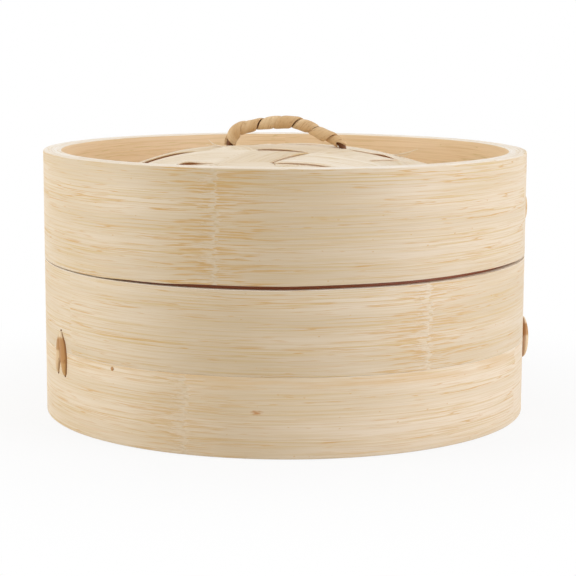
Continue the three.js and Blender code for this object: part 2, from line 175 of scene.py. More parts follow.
class Paint(Nodes):
    """A material that is drawn on the grain map. Its methods return their output sockets."""

    def __init__(self, name):
        self.material = bpy.data.materials.new(name)
        self.material.use_nodes = True
        super().__init__(self.material.node_tree)
        self.shader = self.nodes["Principled BSDF"]
        self.grain = self.add("UVMap", {}, uv_map="grain").outputs[0]

    def along_and_across(self):
        return self.add("SeparateXYZ", {0: self.grain}).outputs[:2]

    def shift_across(self, distance):
        """Moves all that is drawn from here on across the fibres."""
        shift = self.add("CombineXYZ", {1: distance}).outputs[0]
        self.grain = self.add("VectorMath", {0: self.grain, 1: shift}, operation="ADD").outputs[0]

    def noise(self, name):
        along, across, detail, depth = NOISES[name][:4]
        scale = self.add("VectorMath", {0: self.grain, 1: (along, across, 1)}, operation="MULTIPLY")
        place = self.add("VectorMath", {0: scale.outputs[0], 1: (0, 0, depth)}, operation="ADD")
        inputs = {"Vector": place.outputs[0], "Scale": 1.0, "Detail": detail}
        return self.add("TexNoise", inputs).outputs["Fac"]

    def band(self, value, low, high):
        """0 up to low, 1 from high, and smooth between."""
        inputs = {"Value": value, "From Min": low, "From Max": high}
        return self.add("MapRange", inputs, interpolation_type="SMOOTHSTEP").outputs[0]

    def marks(self, name):
        """The noise's marks, between its two limits."""
        return self.band(self.noise(name), *NOISES[name][4:])

    def away(self, value, place):
        return self.math("ABSOLUTE", self.math("SUBTRACT", value, place))

    def mix(self, share, *tones):
        one, other = (srgb(tone) if isinstance(tone, tuple) else tone for tone in tones)
        return self.add("Mix", {0: share, 6: one, 7: other}, data_type="RGBA").outputs[2]

    def over(self, colour, tone, share, strength):
        """The tone laid over the colour."""
        return self.mix(self.times(share, strength), colour, tone)

    def finish(self, colour, roughness, height, relief, gloss):
        bump = self.add("Bump", {"Height": height, "Distance": relief, "Strength": 1.0})
        inputs = {"Base Color": colour, "Roughness": roughness, "Normal": bump.outputs[0]}
        self.feed(self.shader, {**inputs, "Specular IOR Level": gloss})
        return self.material


def bamboo(name, light, dark, streak, dash, joint=0.0, blemish=None, seam=None, shade=None, gloss=0.5):
    """Split bamboo with its fibres along the first grain coordinate. Joint is how strong the marks of a
    joint of the cane are. Blemish is the place of a stain. Seam is what seam_shade_and_tone takes.
    Front shade is a place round a band, and how far from there a painted shade ends: it darkens the
    band's front, which the lamps at the sides light less."""
    paint = Paint(name)
    along, across = paint.along_and_across()
    colour = paint.mix(paint.marks("tone"), dark, light)
    if joint:
        flecks, breaks = cane_joint(paint, along)
    patch, fibre = paint.marks("patch"), paint.noise("fibre")
    amount = paint.scaled(patch, 0.5, 0.38)
    dashes = paint.times(paint.marks("dash"), paint.scaled(patch, 0.65, 0.15))
    contours = paint.band(paint.away(paint.noise("contour"), 0.5), 0.018, 0.004)
    # Each layer's colour, where it shows, and how strongly
    layers = [
        (streak, paint.band(fibre, 0.54, 0.61), amount),
        (streak, paint.marks("hair"), 0.3),
        (dash, dashes, 0.5),
        (dash, contours, amount),
        (light, paint.marks("pale"), 0.3),
        (dash, paint.marks("speck"), 0.6),
    ]
    height = paint.scaled(paint.noise("relief"), 0.5, fibre)
    if joint:
        layers += [(light, flecks, 0.55), (dash, breaks, joint)]
        height = paint.scaled(flecks, 0.7, height)
    place_round = paint.math("WRAP", along, HALF_ROUND, -HALF_ROUND)
    # Painted shade: a broad darker patch over the band's front, which the lamps at the sides light less
    if shade:
        place, reach = shade
        uneven = paint.scaled(paint.noise("shade"), 60 * MM, paint.away(place_round, place))
        layers.append((PAINTED_FRONT_SHADE, paint.band(uneven, reach, 20 * MM), 0.34))
    if blemish:
        layers.append((STAIN, stain(paint, place_round, across, blemish), 0.85))
    if seam:
        layers.append(seam_shade_and_tone(paint, across, *seam))
    for tone, share, strength in layers:
        colour = paint.over(colour, tone, share, strength)
    return paint.finish(colour, paint.scaled(fibre, 0.2, 0.4), height, 0.1 * MM, gloss)


def cane_joint(paint, along):
    """Breaks the fibres off at a ragged line that a joint of the cane leaves across a band. Returns the
    pale flecks beside that line, and the rows of short dark marks on both sides of it."""
    ragged = paint.scaled(paint.noise("joint_line"), 10 * MM, along)
    distance = paint.math("WRAP", ragged, NODE_SPACING / 2, -NODE_SPACING / 2)
    # A noise is about 0.5, so a mark is about 16 mm long, and starts about 1 mm from the line at the left
    length = paint.scaled(paint.noise("joint_length"), 85 * MM, -26 * MM)
    start = paint.math("MAXIMUM", paint.scaled(paint.noise("joint_start"), 16 * MM, -7 * MM), 0.0)
    left = joint_side(paint, paint.times(distance, -1), start, paint.times(length, 1.1))
    right = joint_side(paint, distance, 0.0, length)
    breaks = paint.times(paint.marks("joint_rows"), paint.math("ADD", left, right))
    zone = paint.times(paint.band(distance, -8 * MM, -4 * MM), paint.band(distance, 2 * MM, 0.0))
    flecks = paint.times(zone, paint.marks("joint_torn"))
    curl = paint.times(paint.noise("joint_curl"), zone)
    other_pattern = paint.times(paint.math("GREATER_THAN", distance, 0), 0.37)
    paint.shift_across(paint.scaled(curl, 0.8 * MM, other_pattern))
    return flecks, breaks


def joint_side(paint, distance, start, length):
    """1 between the start and a length that fades out, at a distance from a joint's line."""
    begun = paint.band(paint.math("SUBTRACT", distance, start), 0.0, 0.6 * MM)
    return paint.times(begun, paint.band(paint.math("SUBTRACT", length, distance), 0.0, 4 * MM))


def stain(paint, along, across, place):
    """A ragged spot, about twice as long along the fibres as across."""
    far = paint.times(paint.math("SUBTRACT", along, place[0]), 0.45)
    off = paint.math("SUBTRACT", across, place[1])
    distance = paint.math("SQRT", paint.math("ADD", paint.times(far, far), paint.times(off, off)))
    return paint.band(paint.scaled(paint.noise("stain"), 2.2 * MM, distance), 2.4 * MM, 1.2 * MM)


def seam_shade_and_tone(paint, across, low, high, edge, tone, even, strength):
    """A darker layer between two heights, which fades in over an edge. On the basket's inner hoop it is
    painted shade, where the hoop shows in the gap under the lid band; on the lower band it is a blotched
    darker tone near its top. Even is 1 without blotches.
    """
    inside = paint.times(paint.band(across, low, low + edge), paint.band(across, high, high - 0.6 * MM))
    blotches = paint.math("MAXIMUM", paint.marks("blotch"), even)
    return tone, inside, paint.times(blotches, strength)


def rattan(name, light, dark, streak, tones=(), rim=None):
    """Glossy outer skin of rattan, with long fibres and darker pores. Each of the tones is a start and
    end along the fibres, and the colour that the skin has between them. Rim is the darker colour of a
    strand's two edges, painted shade where its sides turn down to the wall."""
    paint = Paint(name)
    broad = paint.noise("skin")
    colour = paint.mix(paint.band(broad, 0.35, 0.7), dark, light)
    along, across = paint.along_and_across()
    for start, end, tone in tones:
        begun, left = paint.band(along, start, start + TONE_EDGE), paint.band(along, end, end - TONE_EDGE)
        mottled = paint.scaled(paint.band(broad, 0.3, 0.7), 0.25, 0.75)
        colour = paint.over(colour, tone, paint.times(begun, left), mottled)
    # painted shade on both edges of the strand
    if rim:
        edge = paint.scaled(broad, 1 * MM, paint.math("ABSOLUTE", across))
        colour = paint.over(colour, rim, paint.band(edge, 1.9 * MM, 2.5 * MM), 0.85)
    fibre = paint.noise("skin_fibre")
    colour = paint.over(colour, streak, paint.band(fibre, 0.52, 0.75), 0.55)
    colour = paint.over(colour, streak, paint.marks("pore"), 0.7)
    return paint.finish(colour, paint.scaled(fibre, 0.3, 0.34), fibre, 0.15 * MM, RATTAN_GLOSS)


PALE = (228, 210, 183)
TAN = (217, 197, 166)
STREAK = (214, 186, 132)
DASH = (210, 166, 100)
# the colour of the painted shade on the bands' fronts
PAINTED_FRONT_SHADE = (193, 169, 129)
STAIN = (190, 132, 72)
TONE_EDGE = 1.2 * MM
STRIP_GLOSS = 0.2
RATTAN_GLOSS = 0.25

NODE_SPACING = 314 * MM  # between the marks of two joints of the cane, half way round a band
LID_NODE = -11.5  # azimuth of the cane joint's mark that shows on each band, in degrees
UPPER_NODE = 36.3
LOWER_NODE = -18.5
BLEMISH = (arc(-5.8, LOWER_NODE), 18 * MM)  # its place from the joint's mark, and its height
BASKET_SEAM = (LOWER_BAND[1] - 6 * MM, LOWER_BAND[1] + 1 * MM, 4 * MM, (219, 186, 138), 0.0, 0.65)
# Painted shade: dark brown on the basket's inner hoop, where it shows in the gap under the lid band
LID_SEAM_SHADE = (UPPER_BAND[1] - 2.8 * MM, LID_BAND[0] + 1.0 * MM, 0.6 * MM, (166, 92, 52), 1.0, 1.0)

# The bamboos' light, dark, streak and dash colours, and what else they show
BAMBOOS = {
    "lid_band": (PALE, TAN, STREAK, DASH, {"joint": 0.95, "shade": (arc(-4, LID_NODE), 100 * MM)}),
    "upper_band": (PALE, TAN, STREAK, DASH, {"joint": 0.65, "shade": (arc(-12, UPPER_NODE), 90 * MM)}),
    "lower_band": (
        (234, 216, 190), (223, 203, 172), (217, 190, 140), (214, 172, 110),
        {"joint": 0.5, "shade": (arc(-12, LOWER_NODE), 80 * MM), "blemish": BLEMISH, "seam": BASKET_SEAM},
    ),
    "rim": ((246, 238, 226), (238, 226, 208), (226, 206, 178), STREAK, {}),
    "inner": ((237, 209, 169), (231, 201, 160), (222, 188, 142), STREAK, {}),
    "seat": ((230, 201, 162), (223, 192, 151), (206, 170, 124), DASH, {"seam": LID_SEAM_SHADE}),
    "floor": ((228, 203, 160), (212, 182, 134), (186, 146, 96), DASH, {}),
    "strip": ((240, 227, 206), (231, 215, 191), (216, 193, 158), STREAK, {"gloss": STRIP_GLOSS}),
    # lighter and darker copies of the strip: partly tone, partly painted light and shade
    "lit_pale_strip": ((244, 233, 215), (238, 224, 202), (226, 206, 175), STREAK, {"gloss": STRIP_GLOSS}),
    "shaded_tan_strip": ((234, 219, 195), (225, 207, 180), (210, 186, 150), STREAK, {"gloss": STRIP_GLOSS}),
    "lining": ((216, 190, 146), (198, 168, 120), (164, 126, 80), DASH, {}),
    # the upper side of the sheet under the weave: dark brown, painted shade for the gaps between the strips
    "under_weave": ((150, 104, 66), (128, 84, 50), (110, 66, 36), DASH, {}),
}
# A strand's tones: first a pale stretch, a painted highlight on its shoulder where it bends out of its hole,
# then a brown stretch
STRAND_HIGHLIGHT_AND_TONES = [(-2 * MM, 2.6 * MM, (236, 216, 182)), (2 * MM, 12.6 * MM, (180, 128, 70))]
PALE_STRAND_HIGHLIGHT_AND_TONES = [(-2 * MM, 2.4 * MM, (236, 216, 182)), (2 * MM, 8 * MM, (182, 132, 76))]
# The rattans' names, their light, dark and streak colours, and a strand's tones and rim, whose darker
# edges are painted shade
RATTANS = {
    "rattan": ("wound_rattan", (226, 196, 152), (210, 174, 126), (176, 130, 84)),
    "strand": ("stitch_rattan", (214, 174, 116), (194, 148, 90), (140, 88, 42), STRAND_HIGHLIGHT_AND_TONES, (126, 78, 38)),
    "pale_strand": (
        "pale_stitch_rattan", (236, 212, 174), (222, 190, 146), (186, 140, 92),
        PALE_STRAND_HIGHLIGHT_AND_TONES, (140, 90, 46),
    ),
    "rod": ("rod_rattan", (150, 102, 62), (108, 66, 38), (70, 40, 22)),
    # painted shade: the cut faces inside the stitch holes are dark brown
    "hole": ("hole_bamboo", (176, 122, 72), (146, 96, 52), (96, 56, 28)),
    "pin": ("pin_bamboo", (198, 150, 98), (168, 118, 70), (122, 78, 42)),
}
materials = {key: rattan(*looks) for key, looks in RATTANS.items()}
for key, (*tones, more) in BAMBOOS.items():
    materials[key] = bamboo(key + "_bamboo", *tones, **more)


def painted_gap_glow(material):
    """Painted glow: a faint brown emission where a surface lies hemmed in among the strips, standing in
    for the light that the thin strips let through into the gaps between them.
    """
    tree = Nodes(material.node_tree)
    openness = tree.add("AmbientOcclusion", {"Distance": 3 * MM}, samples=6).outputs["AO"]
    limits = {"From Min": 0.42, "From Max": 0.12, "To Max": 0.2}
    glow = tree.add("MapRange", {"Value": openness, **limits}).outputs[0]
    emission = {"Emission Color": srgb((132, 82, 50)), "Emission Strength": glow}
    tree.feed(tree.nodes["Principled BSDF"], emission)


# the strips and the sheet under them glow brown in their gaps
for key in ("strip", "lit_pale_strip", "shaded_tan_strip", "under_weave"):
    painted_gap_glow(materials[key])


# Meshes

FLAT_ANGLE = 40  # a mesh's edges that bend more than this stay sharp, in degrees
SWEPT_ANGLE = 50
BEND_STEPS = 3
HOOP_SIDES = 180
HOOP_ENDS = (0.12, 359.98)  # degrees past a hoop's start, with the face of its lap between them
TOP_NORMAL = 0.6  # a hoop's faces that point up at least this much are its rim


def mesh_piece(points, faces, grain, material, sharp_angle=FLAT_ANGLE):
    """A mesh whose grain map holds, for each face corner, metres along and across the fibres."""
    mesh = bpy.data.meshes.new("piece")
    mesh.from_pydata([tuple(point) for point in points], [], faces)
    mesh.materials.append(material)
    layer = mesh.uv_layers.new(name="grain")
    layer.data.foreach_set("uv", [value for face in grain for corner in face for value in corner])
    mesh.validate()
    mesh.shade_smooth()
    mesh.set_sharp_from_angle(angle=math.radians(sharp_angle))
    return placed("piece", mesh)


def ring_faces(here, there, count):
    """The faces between two rings of points, from the numbers of the rings' first points."""
    sides = [(side, (side + 1) % count) for side in range(count)]
    return [(here + side, there + side, there + after, here + after) for side, after in sides]


def swept(points, grain, material):
    """A closed skin over rows of section points, with a cap at each end. Grain has the same rows."""
    rows, sides = points.shape[:2]
    flat = grain.reshape(-1, 2)
    faces = []
    for row in range(rows - 1):
        faces += ring_faces(row * sides, (row + 1) * sides, sides)
    faces.append(tuple(range(sides)))
    faces.append(tuple(reversed(range((rows - 1) * sides, rows * sides))))
    corners = [[tuple(flat[corner]) for corner in face] for face in faces]
    return mesh_piece(points.reshape(-1, 3), faces, corners, material, SWEPT_ANGLE)


def stand_for(obj, body, slot, *nodes):
    """Names the object after the first node that it replaces, and says what it belongs to."""
    obj.name = obj.data.name = nodes[0] + ("_rattan" if slot == "rattan" else "_bamboo")
    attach(obj, body)
    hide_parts(*nodes)


def rounded(corners, bends):
    """A closed outline of (radius, height) corners with each corner turned into a small arc."""
    outline = []
    for number, (corner, radius) in enumerate(zip(corners, bends)):
        here = Vector(corner)
        before = (Vector(corners[number - 1]) - here).normalized()
        after = (Vector(corners[(number + 1) % len(corners)]) - here).normalized()
        half = before.angle(after) / 2
        reach = radius / math.tan(half)
        centre = here + (before + after).normalized() * (radius / math.sin(half))
        start = here + before * reach - centre
        turn = start.angle_signed(here + after * reach - centre)
        for step in range(BEND_STEPS + 1):
            angle = turn * step / BEND_STEPS
            cosine, sine = math.cos(angle), math.sin(angle)
            # angle_signed is clockwise, so the arc turns the other way round
            spoke = Vector((start.x * cosine + start.y * sine, start.y * cosine - start.x * sine))
            outline.append(centre + spoke)
    return outline


def hoop(corners, bends, material, lap=None, rim=None, origin=0.0):
    """A hoop turned about Z from its section. A lap is (azimuth, step, run): the wall just past the
    azimuth lies lower by the step, and comes back over the run, in degrees. Rim is the top's material,
    and origin is the azimuth that the grain's places along are measured from."""
    outline = rounded(corners, bends)
    lengths = [0.0]
    for one, other in zip(outline, outline[1:] + outline[:1]):
        lengths.append(lengths[-1] + (other - one).length)
    start = lap[0] if lap else 180
    between = [start + 360 * side / HOOP_SIDES for side in range(1, HOOP_SIDES)]
    azimuths = [start + HOOP_ENDS[0], *between, start + HOOP_ENDS[1]]
    middle = sum(point.x for point in outline) / len(outline)
    points = []
    for azimuth in azimuths:
        low = lap[1] * max(0.0, 1 - (azimuth - start) / lap[2]) if lap else 0.0
        turn = math.radians(azimuth)
        for point in outline:
            radius = point.x - (low if point.x > middle else 0.0)
            points.append((radius * math.sin(turn), -radius * math.cos(turn), point.y))
    count = len(outline)
    faces, grain = [], []
    for ring, azimuth in enumerate(azimuths):
        following = (ring + 1) % len(azimuths)
        near = arc(azimuth, origin)
        far = arc(azimuths[following] + (360 if following == 0 else 0), origin)
        faces += ring_faces(ring * count, following * count, count)
        for low, high in zip(lengths, lengths[1:]):
            grain.append(((near, low), (far, low), (far, high), (near, high)))
    obj = mesh_piece(points, faces, grain, material)
    if rim:
        obj.data.materials.append(rim)
        level = (max(point.y for point in outline) + min(point.y for point in outline)) / 2
        for polygon in obj.data.polygons:
            if polygon.normal.z > TOP_NORMAL and polygon.center.z > level:
                polygon.material_index = 1
    return obj


def wall_section(inner, outer, bottom, top):
    return [(outer, bottom), (outer, top), (inner, top), (inner, bottom)]


# Hoops. A lap is its azimuth, step and run, and a bend the radius of a section's corner.

BAND_LAP = (100, 0.45 * MM, 40)  # at the right, just out of sight
SEAT_LAP = (60, 0.2 * MM, 30)
FLOOR_LAPS = {"floor_support_ring": (40, 0.2 * MM, 30), "floor_clamp_ring": (-70, 0.2 * MM, 30)}
SHARP = 0.12 * MM
SOFT = 0.3 * MM
ROUND = 0.6 * MM
UPPER_DRAWN = (LOWER_BAND[1] + 0.04 * MM, UPPER_BAND[1])

# The seam between lid and basket runs lower in front and at the left, and opens towards the right. For
# each edge: the height that it has in the CAD model, and (azimuth, mm) of how far it is drawn above that.
EDGE_REACH = 1 * MM
EDGES = {
    "lid_outer_band": (LID_BAND[0], [
        (-180, -0.2), (-120, -0.4), (-90, -1.3), (-50, -1.95), (-44, -2), (-36, -1.65), (-26, -1.6),
        (-19, -1.05), (0, -1.05), (13, -0.6), (29, -0.35), (47, 0.2), (64, 0.3), (75, 0), (180, -0.2),
    ]),
    "basket_upper_band": (UPPER_DRAWN[1], [
        (-180, 0), (-120, 0), (-90, -0.8), (-50, -1.5), (-31, -1.6), (0, -1.6), (13, -1.15), (29, -0.9),
        (47, -0.35), (64, 0), (180, 0),
    ]),
}


def uneven_edge(band, level, places):
    azimuths, rises = np.array(places).T
    for vertex in band.data.vertices:
        x, y, z = vertex.co
        if abs(z - level) < EDGE_REACH:
            vertex.co.z += np.interp(math.degrees(math.atan2(x, -y)), azimuths, rises) * MM


def bands():
    """The three outer bands. The basket's two are drawn almost touching, as cut from one blank."""
    for node, body, key, heights, joint, bends in (
        ("basket_lower_band", "basket", "lower_band", LOWER_BAND, LOWER_NODE, (ROUND, SHARP, SHARP, SOFT)),
        ("basket_upper_band", "basket", "upper_band", UPPER_DRAWN, UPPER_NODE, (SHARP, SOFT, SOFT, SHARP)),
        ("lid_outer_band", "lid", "lid_band", LID_BAND, LID_NODE, (SHARP, ROUND, SHARP, SOFT)),
    ):
        section = wall_section(BAND_INNER, BAND_OUTER, *heights)
        band = hoop(section, bends, materials[key], BAND_LAP, materials["rim"], joint)
        if node in EDGES:
            uneven_edge(band, *EDGES[node])
        stand_for(band, body, "bamboo_band", node)


RING_GAP = 0.3 * MM  # between the lid's rings and what they clamp


def inner_rings():
    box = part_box("basket_inner_hoop")
    section = wall_section(HOOP_INNER, HOOP_OUTER, box[0].z, box[1].z)
    inner = hoop(section, (SOFT, ROUND, ROUND, SOFT), materials["seat"])
    stand_for(inner, "basket", "inner_bamboo", "basket_inner_hoop")
    above = float(dome_height(HOOP_INNER)) + RING_GAP
    below = float(dome_height(HOOP_OUTER)) + RING_GAP
    outer, top = BAND_INNER - 0.02 * MM, LID_BAND[1]
    corners = [(outer, below), (outer, top), (HOOP_INNER, top), (HOOP_INNER, above)]
    clamp = hoop(corners, (SHARP, SHARP, ROUND, SHARP), materials["inner"], rim=materials["rim"])
    stand_for(clamp, "lid", "inner_bamboo", "lid_clamp_ring")


# Weave. The lines of three families of strips, 120 degrees apart, meet in shared points, so the dome is
# divided into triangles, and each triangle is covered by one strip of each family. Heights are worked
# out on a fine triangular lattice that divides each triangle's side into LATTICE_STEPS.

STRIP_PITCH = 20 * MM
STRIP_GAP = 1.0 * MM
STRIP_THICKNESS = 0.5 * MM
FIRST_STRIP_TURN = -11
FAMILY_SHIFT = (-2 * MM, 4 * MM, -2 * MM)
WEAVE_REACH = 95.8 * MM
LATTICE_STEPS = 12
LATTICE_REACH = 5 * LATTICE_STEPS + 4
LAYER_SPACING = 0.66 * MM
SETTLE_ROUNDS = 60
CLAMPED_RADIUS = 89 * MM
CLAMP_RUN = 4 * MM
STEPS = np.arange(-LATTICE_REACH, LATTICE_REACH + 1)
FIRST, SECOND = np.meshgrid(STEPS, STEPS, indexing="ij")
ALONG_STEPS = ((0, 1), (1, 0), (1, -1))
ACROSS_STEPS = (((1, 0), (1, -1)), ((0, 1), (-1, 1)), ((-1, 0), (0, -1)))

family_normals = [
    Vector((math.cos(angle), math.sin(angle)))
    for angle in (math.radians(FIRST_STRIP_TURN + 90 - 120 * family) for family in range(3))
]

# Cells, by the numbers of their three strips, where another family lies on top than the rule gives
ODD_CELLS = {
    (-1, 0, -1): 0, (-2, 1, 0): 0, (-3, 1, 0): 1, (-2, -1, 1): 0, (-1, -2, 1): 0,
    (-1, -2, 2): 0, (-1, -3, 2): 0, (0, 1, -3): 0, (-2, 2, -2): 0,
}


def shifted(field, step, way=1):
    """The field's values at the neighbours that lie one step away, or one step back."""
    return np.roll(field, (-step[0] * way, -step[1] * way), (0, 1))


def layers(cells):
    """Which layer each family takes in a cell, 0 on top, from the numbers of its three strips."""
    top = np.where((cells[1] - cells[2]) % 3 == 1, 2, np.where((cells[0] - cells[1]) % 3 == 1, 1, 0))
    depth = np.stack([(family - top) % 3 for family in range(3)])
    for cell, family in ODD_CELLS.items():
        here = (cells[0] == cell[0]) & (cells[1] == cell[1]) & (cells[2] == cell[2])
        own = depth[family][here][0]
        depth[:, here] += depth[:, here] < own
        depth[family][here] = 0
    return depth


def settled_weave():
    """Heights of the three families above the weave's middle layer, as stiff strips take them up."""
    lines = [FIRST, SECOND, -1 - FIRST - SECOND]
    place = np.zeros(FIRST.shape + (2,))
    for line, normal, shift in zip(lines, family_normals, FAMILY_SHIFT):
        distance = shift + (line + 1 / 3) / LATTICE_STEPS * STRIP_PITCH
        place += distance[..., None] * np.array(normal) * 2 / 3
    cells = [line // LATTICE_STEPS for line in lines]
    depth = layers(cells)
    order = np.argsort(depth, 0)
    clamped = np.clip((np.hypot(place[..., 0], place[..., 1]) - CLAMPED_RADIUS) / CLAMP_RUN, 0, 1)
    rest = (1 - depth) * LAYER_SPACING
    heights = rest.astype(float)
    within = []
    for cell, steps in zip(cells, ACROSS_STEPS):
        sides = [(step, way) for way in (1, -1) for step in steps]
        within.append([(side, shifted(cell, *side) == cell) for side in sides])
    for _ in range(SETTLE_ROUNDS):
        for family, along in enumerate(ALONG_STEPS):
            field = heights[family]
            for _ in range(9):
                field = (shifted(field, along) + 2 * field + shifted(field, along, -1)) / 4
            for _ in range(2):
                total, count = 2 * field, np.full(field.shape, 2.0)
                for side, same in within[family]:
                    total = total + np.where(same, shifted(field, *side), 0)
                    count = count + same
                field = total / count
            heights[family] = field
        ordered = np.take_along_axis(heights, order, 0)
        for _ in range(3):
            for upper, lower in ((0, 1), (1, 2), (0, 1)):
                lack = np.maximum(0, LAYER_SPACING - (ordered[upper] - ordered[lower])) / 2
                ordered[upper] += lack
                ordered[lower] -= lack
        np.put_along_axis(heights, order, ordered, 0)
        heights = heights * (1 - clamped) + rest * clamped
    return heights


def own_and_next(field, family):
    """The field with the family's own line number and the next family's as its two indexes."""
    numbers = {family: FIRST, (family + 1) % 3: SECOND, (family + 2) % 3: -1 - FIRST - SECOND}
    return field[tuple(np.clip(numbers[axis] + LATTICE_REACH, 0, 2 * LATTICE_REACH) for axis in (0, 1))]


def height_on_strip(field, strip, own, following):
    """Value of an own_and_next field at fractional line numbers, read from inside one strip only."""
    first = strip * LATTICE_STEPS
    final = first + LATTICE_STEPS - 1
    held = np.clip(own, first, final)
    following = following - (held - own) / 2
    x, y = (np.clip(line + LATTICE_REACH, 0, 2 * LATTICE_REACH - 0.001) for line in (held, following))
    i, j = np.floor(x).astype(int), np.floor(y).astype(int)
    p, q = x - i, y - j
    last = np.minimum(i + 1, final + LATTICE_REACH)
    near, far = (field[row, j] * (1 - q) + field[row, j + 1] * q for row in (i, last))
    return near * (1 - p) + far * p


STRIP_COLUMNS = 9
STRIP_ROW = 1.7 * MM
STRIP_EDGE = 0.16 * MM  # how far a strip's edges are rounded
# Strips, by family and number, with a lighter or darker copy of the strip material: partly their own tone,
# partly painted light and painted shade for how their slopes meet the light, as on the darker strip (1, 0)
STRIP_LIGHT_AND_TONES = {(0, -2): "lit_pale_strip", (1, 0): "shaded_tan_strip", (0, -1): "shaded_tan_strip", (2, -2): "shaded_tan_strip"}

# Where a strip's near edge arches up off the strips under it: from where to where along it in pitches
# of the next family, how high, and a power that moves the peak, below 1 towards the start
ARCH_REACH = 0.5  # of the strip's width
ARCHES = {
    (0, 0): [(1.35, 1.85, 0.6 * MM, 1.0)],
    (0, -1): [(-0.08, 1.12, 0.35 * MM, 0.55), (-2.35, -0.75, 0.65 * MM, 1.0)],
    (0, -2): [(0.86, 2.02, 0.22 * MM, 1.3), (-0.95, -0.2, 1.25 * MM, 1.0)],
}

# Where the dome is not quite round: the middle of each rise or dip, how far it reaches, and its height
RISES = (
    ((-44 * MM, -10 * MM), 24 * MM, 1.7 * MM),
    ((-10 * MM, 10 * MM), 17 * MM, -1.1 * MM),
)


def unevenness(x, y):
    edge = np.clip((WEAVE_REACH - 5 * MM - np.hypot(x, y)) / (14 * MM), 0, 1)
    rise = 0.0
    for (left, far), reach, height in RISES:
        rise = rise + height * np.exp(-((x - left) ** 2 + (y - far) ** 2) / reach**2)
    return rise * edge


def strip_piece(family, strip, field, chance):
    """One bamboo strip: rows of a thin closed section, swept across the dome."""
    normal, next_normal = family_normals[family], family_normals[(family + 1) % 3]
    along = Vector((normal.y, -normal.x))
    shift, next_shift = FAMILY_SHIFT[family], FAMILY_SHIFT[(family + 1) % 3]
    trim = STRIP_GAP / 2 + chance.uniform(-0.15, 0.25) * MM
    low = max(shift + strip * STRIP_PITCH + trim, -WEAVE_REACH + 1 * MM)
    high = min(shift + (strip + 1) * STRIP_PITCH - trim, WEAVE_REACH - 1 * MM)
    across = np.linspace(low + STRIP_EDGE, high - STRIP_EDGE, STRIP_COLUMNS)
    nearest = 0 if low < 0 < high else min(abs(low), abs(high))
    rows = int(2 * math.sqrt(WEAVE_REACH**2 - nearest**2) / STRIP_ROW) + 1
    section = [(low, 0.5), *((u, 0.0) for u in across), (high, 0.5), *((u, 1.0) for u in across[::-1])]
    grain_offset = chance.uniform(0, 50)
    points, grain = [], []
    for u, down in section:
        run = np.linspace(-1, 1, rows) * math.sqrt(WEAVE_REACH**2 - u**2)
        x, y = normal.x * u + along.x * run, normal.y * u + along.y * run
        own = np.full(rows, (u - shift) / STRIP_PITCH * LATTICE_STEPS - 1 / 3)
        beside = x * next_normal.x + y * next_normal.y - next_shift
        following = beside / STRIP_PITCH * LATTICE_STEPS - 1 / 3
        lift = height_on_strip(field, strip, own, following)
        inwards = (u - shift) / STRIP_PITCH - strip
        for start, end, height, power in ARCHES.get((family, strip), ()):
            passed = np.clip((following / LATTICE_STEPS - start) / (end - start), 0, 1) ** power
            lift += height * np.sin(np.pi * passed) ** 2 * max(0, 1 - inwards / ARCH_REACH) ** 2
        z = dome_height(np.hypot(x, y)) + unevenness(x, y) - LAYER_SPACING + lift - down * STRIP_THICKNESS
        points.append(together(x, y, z))
        grain.append(together(run + grain_offset, u))
    material = materials[STRIP_LIGHT_AND_TONES.get((family, strip), "strip")]
    return swept(np.stack(points, 1), np.stack(grain, 1), material)


# Each splinter's strip, its width, thickness and path in mm
SPLINTERS = [
    (
        "a1", 1.7, 0.7,
        [(41, 8, 104.9), (45.8, 6, 105.1), (49, 3, 105.8), (51.9, 1, 106.7), (55.4, -1, 108.2)],
    ),
    ("a1", 1.0, 0.5, [(43, 6, 104.3), (46.5, 4, 104.6), (49.5, 2, 105.0), (52.4, 0, 106.1)]),
    ("a2", 0.5, 0.4, [(-24.5, -4, 108.6), (-26.5, -5, 109.2), (-29.5, -5.5, 110.2), (-32.2, -6, 112.4)]),
    ("a2", 0.4, 0.35, [(-25, -5, 108.6), (-27.5, -6, 109.4), (-30.5, -6.5, 109.6), (-33, -7, 110.3)]),
    ("a2", 0.4, 0.3, [(-26, -5, 108.5), (-28.5, -6, 108.9), (-31, -6, 111.3)]),
]


def splinter(width, thickness, points):
    """A loose splinter of bamboo along a path, that narrows to a point."""
    line = Line(points, 12)
    runs = np.linspace(0, line.runs[-1], 36)
    place, slope = line.at(runs)
    side = np.cross(slope, (0, 0, 1))
    side = side / np.linalg.norm(side, axis=1, keepdims=True)
    upright = np.cross(side, slope)
    taper = np.sqrt(1 - (runs / runs[-1]) ** 2 * 0.99)[:, None]
    angles = around(10)
    wide = np.cos(angles) * width * MM / 2 * taper
    thick = np.sin(angles) * thickness * MM / 2 * taper
    points = place[:, None] + side[:, None] * wide[..., None] + upright[:, None] * thick[..., None]
    grain = together(runs[:, None] + 5, angles * 0.3 * MM)
    return swept(points[:, ::-1], grain[:, ::-1], materials["lit_pale_strip"])


def weave():
    heights = settled_weave()
    for family, letter in enumerate("abc"):
        field = own_and_next(heights[family], family)
        middle = math.floor(-FAMILY_SHIFT[family] / STRIP_PITCH)
        for offset in range(-4, 5):
            short = f"{letter}{outwards(offset)}"
            node = "weave_strip_" + short
            chance = random.Random(f"{SEED} {node}")
            parts = [strip_piece(family, middle + offset, field, chance)]
            parts += [splinter(*rest) for owner, *rest in SPLINTERS if owner == short]
            stand_for(joined(parts), "lid", "weave_strip", node)


# Handle: a rod through the weave, wound with one flat strip. In its own frame X runs along the arch,
# and the origin is the crown of the dome.

